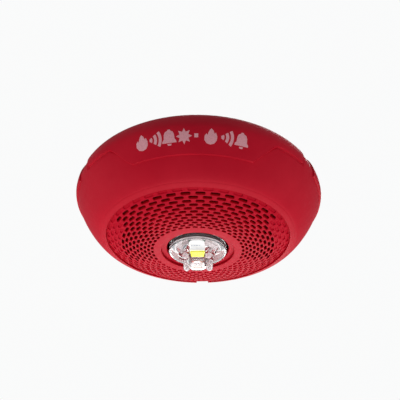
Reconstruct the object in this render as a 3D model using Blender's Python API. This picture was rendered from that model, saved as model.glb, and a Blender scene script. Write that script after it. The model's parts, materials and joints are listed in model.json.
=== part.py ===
"""Ceiling horn strobe, modelled as separate parts.

The unit hangs below a ceiling. The origin is the centre of the mounting plate's back, in the
ceiling's plane. +Z points up, so the whole unit lies at negative Z, and its printed front faces -Y.
Dimensions below are in millimetres; geometry is written in metres.
"""
import math

import bmesh
import bpy
from mathutils import Vector

MM = 0.001
GAP = 0.35                      # free space left between neighbouring pieces

# Housing bowl, a body of revolution: back edge, widest ring and rim
BACK_R, BACK_Z = 79.9, -0.5
WIDE_R, WIDE_Z = 86.5, -12.5
RIM_R, RIM_Z = 67.5, -41.3
BACK_POWER, RIM_POWER = 1.76, 1.33
WALL = 2.3
RIM_INNER_R, RIM_FACE_Z = 63.9, -42.9

# Perforated panel
PANEL_R = 63.5
PANEL_WALL = 1.3
PLATEAU_R, PLATEAU_Z = 31.5, -51.6
CROWN_R = 57.0
STEP_R, STEP_RISE = 25.0, 1.7
APERTURE_R = 21.5
SLOT_ROWS, SLOTS_PER_ROW = 13, 40
FIRST_ROW_R, ROW_PITCH = 62.0, 2.54
SLOT_WIDTH, SLOT_SHARE = 1.8, 0.7
SHALLOW_ROWS, WIDE_SECTOR, NARROW_SECTOR = 1, 110.0, 60.0
SCREEN_INNER_R, SCREEN_OUTER_R, SCREEN_THICK, SCREEN_LIFT = 29.0, 60.5, 0.4, 0.7

# Strobe stack, on the vertical axis
LENS_R, LENS_FACE_Z, LENS_RIM_Z, LENS_WALL = 19.8, -52.5, -48.0, 1.4
DOME_HALF_X, DOME_HALF_Y, DOME_Z = 10.3, 10.0, -64.0
DOME_TAPER, DOME_SQUARENESS = 0.9, 3.2
REFLECTOR_R = 17.9
LED_HALF_X, LED_HALF_Y, LED_FACE_Z, LED_APRON_Y = 5.7, 5.2, -53.4, -15.2

# Back of the unit
PLATE_R, PLATE_THICK = 75.0, 2.5
WIRE_ENTRY_R, WIRE_ENTRY_Y = 20.0, 24.0
FIXING_OFFSET, FIXING_LENGTH, FIXING_WIDTH = 36.0, 14.0, 5.0
TERMINALS, TERMINAL_PITCH, TERMINAL_Y = 4, 11.0, -19.0
BLOCK_FACE_Z = -12.0
COVER_R, COVER_Z, COVER_THICK = 79.5, -15.0, 1.6
BOARD_R, BOARD_Z, BOARD_THICK = 61.0, -19.4, 1.6
SCREW_Y, SCREW_R = 66.2, 1.7
POCKET_HALF_X = 5.2
HOOK_Y, HOOK_Z, HOOK_HALF_X = -76.9, -2.8, 9.0
HORN_Y, HORN_R = -41.0, 17.0
CANDELA_X, CANDELA_Y, CANDELA_TRAVEL = -34.0, 30.0, 12.0
TONE_X, TONE_Y, TONE_R = 40.0, 30.0, 4.6
SCREW_CIRCLE_R = 54.0
ASSEMBLY_SCREWS = [(SCREW_CIRCLE_R * math.cos(math.radians(a)), SCREW_CIRCLE_R * math.sin(math.radians(a)))
                   for a in (90, 215, 325)]
ASSEMBLY_SCREW_R, PIN_X, PIN_Y, PIN_R = 1.6, 14.0, -0.5, 0.9
SOUNDER_MOUTH_Z, SOUNDER_TOP_Z, SOUNDER_WALL = -41.3, -32.0, 1.6
GUIDE_LOW_Z, LEAD_R = -33.2, 0.5

RED = (0.55, 0.012, 0.03)
WHITE = (0.85, 0.85, 0.83)
DARK = (0.03, 0.03, 0.035)
BOARD_GREEN = (0.03, 0.2, 0.08)
STEEL = (0.6, 0.6, 0.62)
BRASS = (0.75, 0.55, 0.25)


def clear_scene():
    for obj in list(bpy.data.objects):
        bpy.data.objects.remove(obj, do_unlink=True)


def principled(name, colour, roughness=0.5, metallic=0.0, transmission=0.0):
    material = bpy.data.materials.new(name)
    material.use_nodes = True
    shader = material.node_tree.nodes["Principled BSDF"]
    shader.inputs["Base Color"].default_value = (*colour, 1.0)
    shader.inputs["Roughness"].default_value = roughness
    shader.inputs["Metallic"].default_value = metallic
    shader.inputs["Transmission Weight"].default_value = transmission
    return material


# ---------------------------------------------------------------- solids, added to a bmesh in mm
def add_rings(bm, rings, loop=False):
    """Skin a list of equal rings; a loop joins the last to the first, otherwise both ends are capped."""
    made = [[bm.verts.new(Vector(point) * MM) for point in ring] for ring in rings]
    pairs = list(zip(made, made[1:])) + ([(made[-1], made[0])] if loop else [])
    for low, high in pairs:
        for i in range(len(low)):
            j = (i + 1) % len(low)
            bm.faces.new((low[i], low[j], high[j], high[i]))
    if not loop:
        bm.faces.new(made[0][::-1])
        bm.faces.new(made[-1])


def circle(radius, z, segments, centre=(0.0, 0.0), phase=0.0):
    turn = 2 * math.pi / segments
    return [(centre[0] + radius * math.cos(turn * i + phase),
             centre[1] + radius * math.sin(turn * i + phase), z) for i in range(segments)]


def add_cylinder(bm, centre, radius, z_low, z_high, segments=24, chamfer=0.0):
    rings = [circle(radius - chamfer, z_low, segments, centre)]
    if chamfer:
        rings.append(circle(radius, z_low + chamfer, segments, centre))
        rings.append(circle(radius, z_high - chamfer, segments, centre))
    rings.append(circle(radius - chamfer, z_high, segments, centre))
    add_rings(bm, rings)


def add_tube(bm, centre, inner, outer, z_low, z_high, segments=32):
    profile = ((inner, z_low), (outer, z_low), (outer, z_high), (inner, z_high))
    add_rings(bm, [circle(r, z, segments, centre) for r, z in profile], loop=True)


def add_box(bm, low, high, bevel=0.0):
    corners = ((low[0], low[1]), (high[0], low[1]), (high[0], high[1]), (low[0], high[1]))
    before = set(bm.edges)
    add_rings(bm, [[(x, y, low[2]) for x, y in corners], [(x, y, high[2]) for x, y in corners]])
    if bevel:
        edges = [edge for edge in bm.edges if edge not in before]
        bmesh.ops.bevel(bm, geom=edges, offset=bevel * MM, segments=1, affect="EDGES")


def make(name, bm, material, smooth_angle=35.0, location=(0.0, 0.0, 0.0)):
    """Turn a bmesh into a named object whose origin is at the given place, in mm."""
    bmesh.ops.recalc_face_normals(bm, faces=bm.faces)
    offset = Vector(location) * MM
    bmesh.ops.translate(bm, verts=bm.verts, vec=-offset)
    mesh = bpy.data.meshes.new(name)
    bm.to_mesh(mesh)
    bm.free()
    mesh.shade_smooth()
    mesh.set_sharp_from_angle(angle=math.radians(smooth_angle))
    mesh.materials.append(material)
    obj = bpy.data.objects.new(name, mesh)
    obj.location = offset
    bpy.context.scene.collection.objects.link(obj)
    return obj


def cut(target, cutter_bm):
    """Subtract every solid of a bmesh from the target."""
    cutter = make(target.name + "_cutter", cutter_bm, target.data.materials[0])
    cutter.hide_render = True
    cutter.display_type = "WIRE"
    modifier = target.modifiers.new("openings", "BOOLEAN")
    modifier.operation = "DIFFERENCE"
    modifier.solver = "EXACT"
    modifier.object = cutter


# ---------------------------------------------------------------- housing
def bowl_profile(inset, back_z, rim_z, back_steps, rim_steps):
    """Side of the bowl from its back edge to its rim, moved inwards by an inset."""
    points = []
    for i in range(back_steps):
        turn = 0.5 * math.pi * i / back_steps
        radius = BACK_R + (WIDE_R - BACK_R) * math.sin(turn) ** (2 / BACK_POWER)
        points.append((radius - inset, WIDE_Z + (back_z - WIDE_Z) * math.cos(turn) ** (2 / BACK_POWER)))
    for i in range(rim_steps + 1):
        turn = 0.5 * math.pi * i / rim_steps
        radius = RIM_R + (WIDE_R - RIM_R) * max(math.cos(turn), 0.0) ** (2 / RIM_POWER)
        points.append((radius - inset, WIDE_Z + (rim_z - WIDE_Z) * math.sin(turn) ** (2 / RIM_POWER)))
    return points


def bezel_shell(red):
    outer = bowl_profile(0.0, BACK_Z, RIM_Z, 5, 8)
    rim = [(RIM_R - 1.3, RIM_Z - 0.65), (RIM_INNER_R, RIM_FACE_Z), (RIM_INNER_R, RIM_FACE_Z + 2.6)]
    inner = bowl_profile(WALL, BACK_Z, RIM_FACE_Z + 2.6, 3, 5)[::-1]
    bm = bmesh.new()
    add_rings(bm, [circle(r, z, 52) for r, z in outer + rim + inner], loop=True)
    shell = make("bezel_shell", bm, red, 30.0)
    pocket = bmesh.new()
    add_box(pocket, (-POCKET_HALF_X, RIM_INNER_R - 3.0, -46.0), (POCKET_HALF_X, 74.0, -37.2))
    cut(shell, pocket)


def panel_height(radius):
    """Outer face of the panel: flat near the lens, then a shallow crown up to the rim."""
    reach = max(radius - PLATEAU_R, 0.0)
    return PLATEAU_Z + CROWN_R - math.sqrt(CROWN_R ** 2 - reach ** 2)


def slot_is_open(row, angle):
    """Sound slots are open towards the front; the others are only marked on the surface."""
    sector = NARROW_SECTOR if row < 4 else WIDE_SECTOR
    return row >= SHALLOW_ROWS and abs(angle) <= sector


def slot_angles(row):
    pitch = 360.0 / SLOTS_PER_ROW
    start = -180.0 + (0.0 if row % 2 == 0 else 0.5 * pitch)
    return [start + pitch * i for i in range(SLOTS_PER_ROW)]


def panel_row(row):
    """Break angles of one row, and whether the cell after each break is a slot."""
    half = 0.5 * SLOT_SHARE * 360.0 / SLOTS_PER_ROW
    breaks = []
    for index, angle in enumerate(slot_angles(row)):
        if slot_is_open(row, angle):
            breaks += [(angle - half, True), (angle + half, False)]
        elif index % 2 == 0:
            breaks.append((angle, False))
    return breaks


def panel_ring(radius, angles):
    """A ring of the outer face and one of the inner face, at angles from the front."""
    rings = []
    for lift in (0.0, PANEL_WALL):
        rings.append([(radius * math.sin(math.radians(a)), -radius * math.cos(math.radians(a)),
                       panel_height(radius) + lift) for a in angles])
    return rings


def zip_rings(bm, first, first_angles, second, second_angles):
    """Triangulate the strip between two rings whose points stand at different angles."""
    i = j = 0
    count_i, count_j = len(first), len(second)
    while i < count_i or j < count_j:
        next_i = first_angles[(i + 1) % count_i] + (360.0 if i + 1 >= count_i else 0.0)
        next_j = second_angles[(j + 1) % count_j] + (360.0 if j + 1 >= count_j else 0.0)
        corner_i, corner_j = first[i % count_i], second[j % count_j]
        if j >= count_j or (i < count_i and next_i <= next_j):
            bm.faces.new((corner_i, first[(i + 1) % count_i], corner_j))
            i += 1
        else:
            bm.faces.new((corner_i, second[(j + 1) % count_j], corner_j))
            j += 1


def grille_panel(red):
    bm = bmesh.new()
    edges = []
    border = [-180.0 + 6.0 * i for i in range(60)]
    edges.append((panel_ring(PANEL_R, border), border))
    slots = []
    for row in range(SLOT_ROWS):
        breaks = panel_row(row)
        angles = [angle for angle, _ in breaks]
        middle = FIRST_ROW_R - ROW_PITCH * row
        for radius in (middle + 0.5 * SLOT_WIDTH, middle - 0.5 * SLOT_WIDTH):
            edges.append((panel_ring(radius, angles), angles))
        slots.append([is_slot for _, is_slot in breaks])
    for radius, drop in ((STEP_R + 0.3, 0.0), (STEP_R, STEP_RISE), (APERTURE_R, STEP_RISE)):
        rings = [[(x, y, z + drop) for x, y, z in ring] for ring in panel_ring(radius, border)]
        edges.append((rings, border))
    skins = [[[bm.verts.new(Vector(p) * MM) for p in ring] for ring in rings] for rings, _ in edges]
    angles = [a for _, a in edges]
    for k in range(len(edges) - 1):
        row = (k - 1) // 2
        for side in (0, 1):
            first, second = skins[k][side], skins[k + 1][side]
            if k % 2 == 1 and row < SLOT_ROWS:
                for i, is_slot in enumerate(slots[row]):
                    if not is_slot:
                        j = (i + 1) % len(first)
                        bm.faces.new((first[i], first[j], second[j], second[i]))
            else:
                zip_rings(bm, first, angles[k], second, angles[k + 1])
        if k % 2 == 1 and row < SLOT_ROWS:
            for i, is_slot in enumerate(slots[row]):
                if is_slot:
                    j = (i + 1) % len(skins[k][0])
                    corners = [(k, i), (k, j), (k + 1, j), (k + 1, i)]
                    for (ka, ia), (kb, ib) in zip(corners, corners[1:] + corners[:1]):
                        bm.faces.new((skins[ka][0][ia], skins[kb][0][ib], skins[kb][1][ib], skins[ka][1][ia]))
    for k in (0, len(edges) - 1):
        outer, inner = skins[k]
        for i in range(len(outer)):
            j = (i + 1) % len(outer)
            bm.faces.new((outer[i], outer[j], inner[j], inner[i]))
    make("grille_panel", bm, red, 30.0)


def dust_screen(fabric):
    """Thin acoustic cloth that follows the panel's back."""
    radii = [SCREEN_INNER_R + (SCREEN_OUTER_R - SCREEN_INNER_R) * i / 8 for i in range(9)]
    low = [(r, panel_height(r) + PANEL_WALL + SCREEN_LIFT) for r in radii]
    high = [(r, z + SCREEN_THICK) for r, z in low[::-1]]
    bm = bmesh.new()
    add_rings(bm, [circle(r, z, 40) for r, z in low + high], loop=True)
    make("dust_screen", bm, fabric)


# ---------------------------------------------------------------- strobe
def dome_ring(scale, z, inset=0.0, segments=28):
    """Rounded rectangle of the lens dome."""
    points = []
    for i in range(segments):
        turn = 2 * math.pi * i / segments
        c, s = math.cos(turn), math.sin(turn)
        x = math.copysign(abs(c) ** (2 / DOME_SQUARENESS), c) * (DOME_HALF_X - inset) * scale
        y = math.copysign(abs(s) ** (2 / DOME_SQUARENESS), s) * (DOME_HALF_Y - inset) * scale
        points.append((x, y, z))
    return points


def strobe_lens(clear):
    """A cup with its open side up, and the dome standing down from its face."""
    floor = LENS_FACE_Z + LENS_WALL
    inner_dome = DOME_Z + LENS_WALL + 0.4
    rings = [dome_ring(0.78, inner_dome, LENS_WALL), dome_ring(DOME_TAPER, inner_dome + 1.6, LENS_WALL),
             dome_ring(1.0, floor, LENS_WALL), circle(LENS_R - LENS_WALL, floor, 28),
             circle(LENS_R - LENS_WALL, LENS_RIM_Z, 28), circle(LENS_R, LENS_RIM_Z, 28),
             circle(LENS_R, LENS_FACE_Z + 0.6, 28), circle(LENS_R - 0.6, LENS_FACE_Z, 28),
             dome_ring(1.0, LENS_FACE_Z), dome_ring(DOME_TAPER, DOME_Z + 1.8), dome_ring(0.78, DOME_Z)]
    bm = bmesh.new()
    add_rings(bm, rings)
    make("strobe_lens", bm, clear, 25.0)


def strobe_stack(grey, white, yellow, rubber, green, black):
    gasket_z = LENS_RIM_Z + GAP
    bm = bmesh.new()
    add_tube(bm, (0, 0), LENS_R - LENS_WALL, LENS_R - 0.2, gasket_z, gasket_z + 1.0, 40)
    make("lens_gasket", bm, rubber)

    plate_z = LENS_FACE_Z + LENS_WALL + GAP
    bm = bmesh.new()
    add_cylinder(bm, (0, 0), REFLECTOR_R, plate_z, plate_z + 1.0, 40, 0.2)
    reflector = make("reflector_disc", bm, grey)
    window = bmesh.new()
    add_box(window, (-LED_HALF_X - GAP, LED_APRON_Y - GAP, plate_z - 1.0),
            (LED_HALF_X + GAP, LED_HALF_Y + GAP, plate_z + 2.0))
    for side in (-1, 1):
        add_cylinder(window, (PIN_X * side, PIN_Y), PIN_R + GAP, plate_z - 1.0, plate_z + 2.0, 12)
    cut(reflector, window)

    board_z = plate_z + 1.0 + GAP + 0.6
    bm = bmesh.new()
    add_cylinder(bm, (0, 0), 17.0, board_z, board_z + 1.4, 32)
    make("led_board", bm, green)

    for name, side in (("reflector_pin_left", -1), ("reflector_pin_right", 1)):
        bm = bmesh.new()
        add_cylinder(bm, (PIN_X * side, PIN_Y), PIN_R, plate_z - 0.1, board_z - GAP, 10)
        make(name, bm, black)

    bm = bmesh.new()
    outline = [(LED_APRON_Y, plate_z), (-LED_HALF_Y, plate_z), (-LED_HALF_Y, LED_FACE_Z),
               (LED_HALF_Y, LED_FACE_Z), (LED_HALF_Y, board_z - GAP), (LED_APRON_Y, board_z - GAP)]
    add_rings(bm, [[(x, y, z) for y, z in outline] for x in (-LED_HALF_X, LED_HALF_X)])
    make("led_holder", bm, white)

    bm = bmesh.new()
    add_box(bm, (-LED_HALF_X + 0.2, -4.3, LED_FACE_Z - GAP - 0.8),
            (LED_HALF_X - 0.2, 4.3, LED_FACE_Z - GAP), 0.3)
    make("led_emitter", bm, yellow)

    tower_top = BOARD_Z - BOARD_THICK - GAP
    bm = bmesh.new()
    add_tube(bm, (0, 0), LENS_R - 2.0, LENS_R - 0.2, gasket_z + 1.0 + GAP, tower_top, 40)
    make("strobe_tower", bm, black)

    bm = bmesh.new()
    add_box(bm, (-6.0, 8.0, board_z + 1.4 + GAP), (6.0, 8.6, tower_top - 3.4))
    make("strobe_ribbon", bm, grey)

    bm = bmesh.new()
    add_box(bm, (-7.5, 6.2, tower_top - 3.0), (7.5, 10.6, tower_top), 0.3)
    make("ribbon_connector", bm, white)


# ---------------------------------------------------------------- sounder
def sounder(black, brass, rubber, wire_red, wire_black):
    bm = bmesh.new()
    inner = HORN_R - SOUNDER_WALL
    under = SOUNDER_TOP_Z - SOUNDER_WALL
    profile = ((inner, SOUNDER_MOUTH_Z), (HORN_R, SOUNDER_MOUTH_Z), (HORN_R, SOUNDER_TOP_Z),
               (3.0, SOUNDER_TOP_Z), (3.0, under), (inner, under))
    add_rings(bm, [circle(r, z, 36, (0, HORN_Y)) for r, z in profile], loop=True)
    make("sounder_cup", bm, black)

    bm = bmesh.new()
    add_tube(bm, (0, HORN_Y), HORN_R - 4.2, inner - GAP, -38.2, -36.2, 36)
    make("piezo_gasket", bm, rubber)

    bm = bmesh.new()
    add_cylinder(bm, (0, HORN_Y), inner - GAP, -39.1, -38.2 - GAP, 36)
    make("piezo_disc", bm, brass)

    bm = bmesh.new()
    add_tube(bm, (0, HORN_Y), HORN_R - 4.0, inner - GAP, -41.0, -39.1 - GAP, 36)
    make("piezo_retainer", bm, black)

    for name, side, material in (("piezo_lead_red", -1, wire_red), ("piezo_lead_black", 1, wire_black)):
        curve = bpy.data.curves.new(name, "CURVE")
        curve.dimensions = "3D"
        curve.bevel_depth = LEAD_R * MM
        curve.bevel_resolution = 1
        curve.use_fill_caps = True
        spline = curve.splines.new("POLY")
        start = Vector((1.2 * side, HORN_Y, -38.2))
        end = Vector((3.5 * side, HORN_Y + 3.0, BOARD_Z - BOARD_THICK - GAP))
        steps = 10
        spline.points.add(steps)
        for i in range(steps + 1):
            share = i / steps
            point = start.lerp(end, share)
            late = max(0.0, (share - 0.55) / 0.45)
            point.x = 1.2 * side + 2.3 * side * late
            point.y = HORN_Y + 3.0 * late
            spline.points[i].co = (*(point * MM), 1.0)
        curve.materials.append(material)
        bpy.context.scene.collection.objects.link(bpy.data.objects.new(name, curve))


# ---------------------------------------------------------------- electronics
def circuit(green, black, ferrite, gold, blue):
    low = BOARD_Z - BOARD_THICK
    bm = bmesh.new()
    add_cylinder(bm, (0, 0), BOARD_R, low, BOARD_Z, 48)
    board = make("main_circuit_board", bm, green)
    holes = bmesh.new()
    for x, y in ASSEMBLY_SCREWS:
        add_cylinder(holes, (x, y), ASSEMBLY_SCREW_R + GAP, low - 1.0, BOARD_Z + 1.0, 12)
    cut(board, holes)

    face = low - GAP
    bm = bmesh.new()
    add_cylinder(bm, (-36.0, -14.0), 6.3, face - 17.0, face, 24, 0.6)
    make("storage_capacitor", bm, blue)
    bm = bmesh.new()
    add_cylinder(bm, (36.0, -16.0), 5.0, face - 12.0, face, 24, 0.5)
    make("filter_capacitor", bm, black)
    bm = bmesh.new()
    add_tube(bm, (36.0, 6.0), 3.4, 8.0, face - 5.5, face, 28)
    make("inductor", bm, ferrite)
    chips = (("control_chip", -34.0, 14.0, 10.0, 10.0, 1.8), ("amplifier_chip", 0.0, 36.0, 8.0, 12.0, 1.8),
             ("surge_suppressor", 22.0, 30.0, 7.0, 5.0, 2.4))
    for name, x, y, width, depth, height in chips:
        bm = bmesh.new()
        add_box(bm, (x - width / 2, y - depth / 2, face - height), (x + width / 2, y + depth / 2, face))
        make(name, bm, black)

    for index, x in enumerate(terminal_positions(), 1):
        bm = bmesh.new()
        add_cylinder(bm, (x, TERMINAL_Y), 1.0, BOARD_Z + GAP, BLOCK_FACE_Z - 1.2, 10, 0.25)
        make(f"contact_pin_{index}", bm, gold)


def add_screw(bm, centre, head_r, shank_r, head_top, head_depth, shank_end):
    """Screw with its head below and its shank rising to shank_end."""
    profile = ((head_r * 0.8, head_top - head_depth), (head_r, head_top - head_depth * 0.6),
               (head_r, head_top), (shank_r, head_top), (shank_r, shank_end))
    add_rings(bm, [circle(r, z, 14, centre) for r, z in profile])


def terminal_positions():
    first = -0.5 * TERMINAL_PITCH * (TERMINALS - 1)
    return [first + TERMINAL_PITCH * i for i in range(TERMINALS)]


# ---------------------------------------------------------------- back cover and selectors
def rear_cover(white, black, steel, red):
    low = COVER_Z - COVER_THICK
    bm = bmesh.new()
    add_cylinder(bm, (0, 0), COVER_R, low, COVER_Z, 56)
    cover = make("rear_cover", bm, white)
    holes = bmesh.new()
    for x in terminal_positions():
        add_cylinder(holes, (x, TERMINAL_Y), 1.0 + GAP + 0.2, low - 1.0, COVER_Z + 1.0, 12)
    for x, y in ASSEMBLY_SCREWS:
        add_cylinder(holes, (x, y), ASSEMBLY_SCREW_R + GAP, low - 1.0, COVER_Z + 1.0, 12)
    add_cylinder(holes, (0, SCREW_Y), SCREW_R + 0.8, low - 1.0, COVER_Z + 1.0, 16)
    add_cylinder(holes, (TONE_X, TONE_Y), TONE_R + GAP, low - 1.0, COVER_Z + 1.0, 24)
    add_box(holes, (CANDELA_X - 2.0 - GAP, CANDELA_Y - 1.6 - GAP, low - 1.0),
            (CANDELA_X + CANDELA_TRAVEL + 2.0 + GAP, CANDELA_Y + 1.6 + GAP, COVER_Z + 1.0))
    cut(cover, holes)

    board_low = BOARD_Z - BOARD_THICK
    for index, centre in enumerate(ASSEMBLY_SCREWS, 1):
        bm = bmesh.new()
        head = COVER_Z + GAP
        profile = ((ASSEMBLY_SCREW_R, board_low - 8.0), (ASSEMBLY_SCREW_R, head), (3.0, head),
                   (3.0, head + 1.2), (2.4, head + 1.8))
        add_rings(bm, [circle(r, z, 14, centre) for r, z in profile])
        make(f"assembly_screw_{index}", bm, steel)

        bm = bmesh.new()
        add_tube(bm, centre, ASSEMBLY_SCREW_R + GAP, 4.0, board_low - 12.0, board_low - GAP, 18)
        make(f"screw_post_{index}", bm, red)

    # Sliding selector: a stem through the slot under a wider knob
    bm = bmesh.new()
    stem_low = low - 0.8
    rings = []
    for half_x, half_y, z in ((2.0, 1.6, stem_low), (2.0, 1.6, COVER_Z + GAP), (3.2, 2.8, COVER_Z + GAP),
                              (3.2, 2.8, COVER_Z + 2.4), (2.6, 2.2, COVER_Z + 2.8)):
        rings.append([(CANDELA_X + half_x * sx, CANDELA_Y + half_y * sy, z)
                      for sx, sy in ((-1, -1), (1, -1), (1, 1), (-1, 1))])
    add_rings(bm, rings)
    make("candela_selector", bm, white, 35.0, (CANDELA_X, CANDELA_Y, COVER_Z))

    bm = bmesh.new()
    add_cylinder(bm, (TONE_X, TONE_Y), TONE_R, low - 0.6, COVER_Z + 1.8, 24, 0.4)
    dial = make("tone_selector", bm, black, 35.0, (TONE_X, TONE_Y, COVER_Z))
    slot = bmesh.new()
    add_box(slot, (TONE_X - 0.6, TONE_Y - TONE_R - 1, COVER_Z + 0.8),
            (TONE_X + 0.6, TONE_Y + TONE_R + 1, COVER_Z + 3))
    cut(dial, slot)


def locking_screw(steel, red, brass):
    bm = bmesh.new()
    add_tube(bm, (0, SCREW_Y), SCREW_R + 0.5, 4.3, GUIDE_LOW_Z, COVER_Z - COVER_THICK - GAP, 24)
    make("screw_guide", bm, red)

    head_top = GUIDE_LOW_Z - GAP
    bm = bmesh.new()
    add_screw(bm, (0, SCREW_Y), 3.1, SCREW_R, head_top, 2.4, -4.0)
    screw = make("locking_screw", bm, steel, 35.0, (0, SCREW_Y, head_top))
    drive = bmesh.new()
    arm, half = 2.0, 0.5
    quarter = [(half, arm), (half, half), (arm, half)]
    outline = []
    for turn in range(4):
        c, s = (1, 0, -1, 0)[turn], (0, -1, 0, 1)[turn]
        outline += [(c * x - s * y, s * x + c * y + SCREW_Y) for x, y in quarter]
    add_rings(drive, [[(x, y, z) for x, y in outline] for z in (head_top - 4.0, head_top - 1.2)])
    cut(screw, drive)

    bm = bmesh.new()
    add_tube(bm, (0, SCREW_Y), SCREW_R + 0.9, 5.2, -10.0, -PLATE_THICK - GAP, 24)
    make("threaded_insert", bm, brass)


# ---------------------------------------------------------------- mounting plate
def mounting_plate(white, black, steel, brass, red):
    bm = bmesh.new()
    add_cylinder(bm, (0, 0), PLATE_R, -PLATE_THICK, 0.0, 56)
    plate = make("mounting_plate", bm, white)
    holes = bmesh.new()
    add_cylinder(holes, (0, WIRE_ENTRY_Y), WIRE_ENTRY_R, -PLATE_THICK - 1, 1.0, 40)
    for side in (-1, 1):
        for end in (-1, 1):
            x, y = FIXING_OFFSET * side, FIXING_OFFSET * end
            add_box(holes, (x - FIXING_LENGTH / 2, y - FIXING_WIDTH / 2, -PLATE_THICK - 1),
                    (x + FIXING_LENGTH / 2, y + FIXING_WIDTH / 2, 1.0))
    cut(plate, holes)

    # J-shaped hook under the device's bar
    bm = bmesh.new()
    half = 6.5
    wall_y = HOOK_Y + 1.6
    points = [(wall_y + 2.6, -PLATE_THICK - GAP), (wall_y, -PLATE_THICK - GAP), (wall_y, HOOK_Z - 1.45),
              (HOOK_Y - 1.7, HOOK_Z - 1.45), (HOOK_Y - 1.7, HOOK_Z - 2.5), (wall_y + 2.6, HOOK_Z - 2.5)]
    add_rings(bm, [[(x, y, z) for y, z in points] for x in (-half, half)])
    make("mounting_hook", bm, white)

    bm = bmesh.new()
    outer, bar = HOOK_HALF_X, 0.8
    wall = HOOK_Y - 1.4
    outline = [(-outer, wall), (-outer, HOOK_Y + bar), (outer, HOOK_Y + bar), (outer, wall),
               (outer - 1.6, wall), (outer - 1.6, HOOK_Y - bar), (-outer + 1.6, HOOK_Y - bar),
               (-outer + 1.6, wall)]
    add_rings(bm, [[(x, y, z) for x, y in outline] for z in (HOOK_Z - bar, HOOK_Z + bar)])
    make("hook_bar", bm, red)

    half_block = 0.5 * TERMINAL_PITCH * TERMINALS + 1.0
    block_top = -PLATE_THICK - GAP
    bm = bmesh.new()
    add_box(bm, (-half_block, TERMINAL_Y - 8.0, BLOCK_FACE_Z + 1.6),
            (half_block, TERMINAL_Y + 8.0, block_top), 0.5)
    block = make("terminal_block", bm, black)
    wells = bmesh.new()
    for x in terminal_positions():
        add_box(wells, (x - 4.4, TERMINAL_Y - 12.0, -9.6), (x + 4.4, TERMINAL_Y - 0.6, -4.8))
    cut(block, wells)

    leaf_top = BLOCK_FACE_Z + 1.6 - GAP
    for index, x in enumerate(terminal_positions(), 1):
        bm = bmesh.new()
        add_box(bm, (x - 3.9, TERMINAL_Y - 7.4, -6.6), (x + 3.9, TERMINAL_Y - 1.0, -5.4), 0.2)
        make(f"wire_clamp_{index}", bm, brass)
        bm = bmesh.new()
        add_cylinder(bm, (x, TERMINAL_Y - 4.2), 2.6, -9.2, -6.6 - GAP, 16, 0.3)
        make(f"terminal_screw_{index}", bm, steel)
        bm = bmesh.new()
        add_box(bm, (x - 2.2, TERMINAL_Y - 2.5, leaf_top - 0.5), (x + 2.2, TERMINAL_Y + 6.0, leaf_top))
        make(f"contact_leaf_{index}", bm, brass)


def build():
    clear_scene()
    red = principled("red_plastic", RED, 0.45)
    white = principled("white_plastic", WHITE, 0.5)
    black = principled("black_plastic", DARK, 0.5)
    clear = principled("clear_lens", (0.95, 0.95, 0.95), 0.05, 0.0, 1.0)
    grey = principled("reflector_grey", (0.5, 0.5, 0.5), 0.4, 0.8)
    yellow = principled("phosphor", (0.95, 0.9, 0.05), 0.5)
    rubber = principled("rubber", (0.02, 0.02, 0.02), 0.8)
    green = principled("circuit_board", BOARD_GREEN, 0.4)
    steel = principled("steel", STEEL, 0.3, 1.0)
    brass = principled("brass", BRASS, 0.3, 1.0)
    gold = principled("gold_contact", (0.9, 0.7, 0.3), 0.25, 1.0)
    blue = principled("capacitor_sleeve", (0.05, 0.06, 0.2), 0.4)
    ferrite = principled("ferrite", (0.12, 0.12, 0.12), 0.7)
    fabric = principled("screen_fabric", (0.015, 0.015, 0.015), 0.9)
    wire_red = principled("red_insulation", (0.6, 0.02, 0.02), 0.5)
    wire_black = principled("black_insulation", (0.02, 0.02, 0.02), 0.5)

    bezel_shell(red)
    grille_panel(red)
    dust_screen(fabric)
    strobe_lens(clear)
    strobe_stack(grey, white, yellow, rubber, green, black)
    sounder(black, brass, rubber, wire_red, wire_black)
    circuit(green, black, ferrite, gold, blue)
    rear_cover(white, black, steel, red)
    locking_screw(steel, red, brass)
    mounting_plate(white, black, steel, brass, red)


build()
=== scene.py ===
"""Looks for the ceiling horn strobe: fine meshes, materials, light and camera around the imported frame.

Geometry is worked out in millimetres and written in metres. Z = 0 is the ceiling, the unit hangs
to negative Z, and its printed front faces -Y. Angles round the unit run from the front towards +X.
"""
import json
import math

import bmesh
import bpy
import numpy as np
from mathutils import Matrix, Vector


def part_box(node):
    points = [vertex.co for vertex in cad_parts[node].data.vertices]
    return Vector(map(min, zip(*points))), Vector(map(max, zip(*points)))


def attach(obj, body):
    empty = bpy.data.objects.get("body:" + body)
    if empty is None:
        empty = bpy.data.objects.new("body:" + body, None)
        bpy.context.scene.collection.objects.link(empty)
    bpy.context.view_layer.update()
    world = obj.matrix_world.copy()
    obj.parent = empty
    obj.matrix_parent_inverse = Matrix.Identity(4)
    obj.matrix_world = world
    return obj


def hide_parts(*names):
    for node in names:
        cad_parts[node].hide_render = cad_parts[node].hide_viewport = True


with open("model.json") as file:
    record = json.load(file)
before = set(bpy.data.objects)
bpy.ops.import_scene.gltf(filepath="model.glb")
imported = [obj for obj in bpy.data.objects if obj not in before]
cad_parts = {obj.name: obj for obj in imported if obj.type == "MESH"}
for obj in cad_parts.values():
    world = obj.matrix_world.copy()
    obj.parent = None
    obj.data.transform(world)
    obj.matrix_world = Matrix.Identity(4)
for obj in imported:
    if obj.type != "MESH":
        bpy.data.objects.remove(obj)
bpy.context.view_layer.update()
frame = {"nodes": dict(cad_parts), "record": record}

MM = 0.001


def span(node):
    """Lowest and highest corner of a CAD node, in mm."""
    low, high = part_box(node)
    return [v / MM for v in low], [v / MM for v in high]


def centre_of(node):
    """Centre of a CAD node seen from above, in mm."""
    low, high = span(node)
    return (low[0] + high[0]) / 2, (low[1] + high[1]) / 2


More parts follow.
